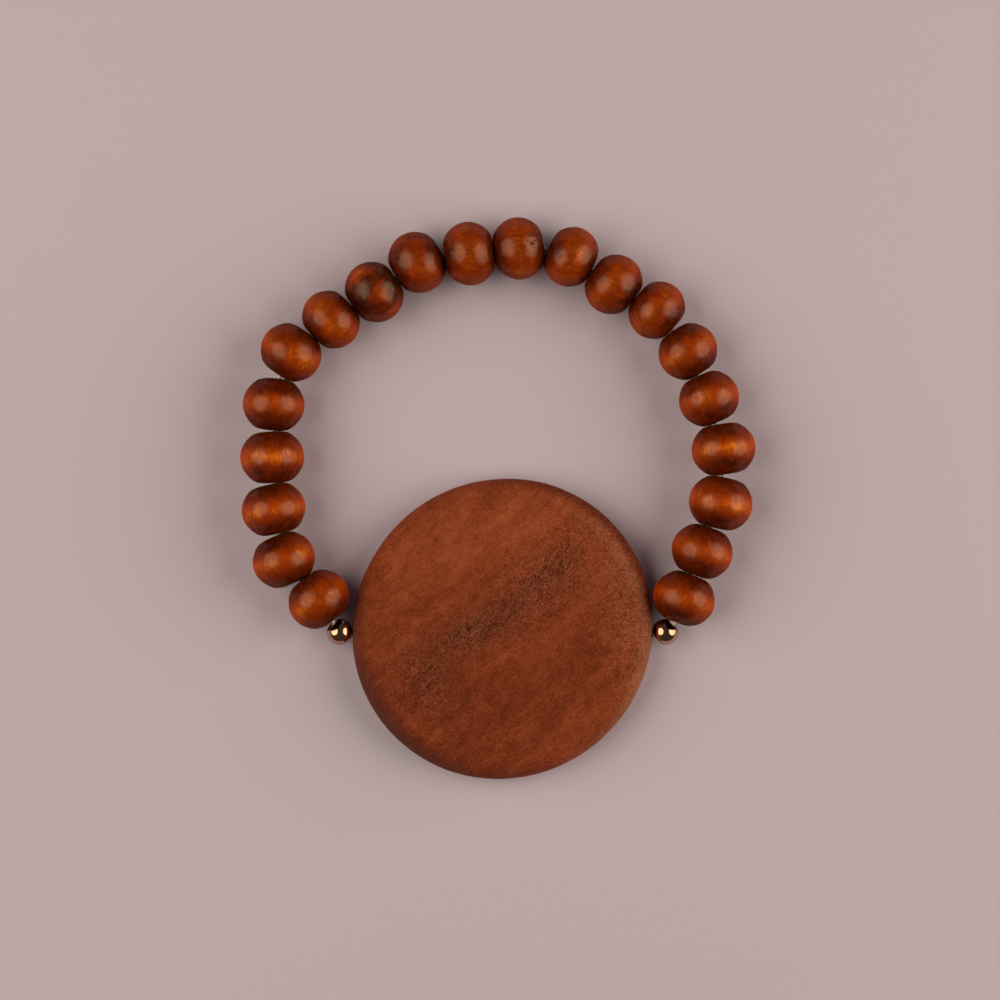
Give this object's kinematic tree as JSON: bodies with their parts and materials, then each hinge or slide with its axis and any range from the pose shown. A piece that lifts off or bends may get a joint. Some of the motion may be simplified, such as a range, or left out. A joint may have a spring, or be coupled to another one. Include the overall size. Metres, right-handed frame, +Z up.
{
  "type": "beaded stretch bracelet",
  "caption": "Stretch bracelet of glossy turned wood beads on a hidden elastic, closed by a large flat matte wood disc with a small gold-coloured metal bead at each end of its hole.",
  "frame": {"origin": "bottom centre of the whole bracelet as it lies on its side", "axes": "+X along the hole of the disc, +Y from the disc across the opening to the top of the loop, +Z up from the surface it lies on"},
  "size_m": [0.0658, 0.072, 0.0082],
  "materials": {
    "disc_wood": "matte, open grained reddish brown",
    "bead_wood": "satin varnish over orange-brown wood",
    "gold_metal": "polished, gold coloured",
    "elastic": "milky, slightly see-through"
  },
  "bodies": {
    "root": {"disc": "disc_wood", "metal_bead_left": "gold_metal", "metal_bead_right": "gold_metal", "wood_bead_01": "bead_wood", "wood_bead_02": "bead_wood", "wood_bead_03": "bead_wood", "wood_bead_04": "bead_wood", "wood_bead_05": "bead_wood", "wood_bead_06": "bead_wood", "wood_bead_07": "bead_wood", "wood_bead_08": "bead_wood", "wood_bead_09": "bead_wood", "wood_bead_10": "bead_wood", "wood_bead_11": "bead_wood", "wood_bead_12": "bead_wood", "wood_bead_13": "bead_wood", "wood_bead_14": "bead_wood", "wood_bead_15": "bead_wood", "wood_bead_16": "bead_wood", "wood_bead_17": "bead_wood", "wood_bead_18": "bead_wood", "wood_bead_19": "bead_wood", "wood_bead_20": "bead_wood", "elastic_cord": "elastic"}
  },
  "joints": []
}
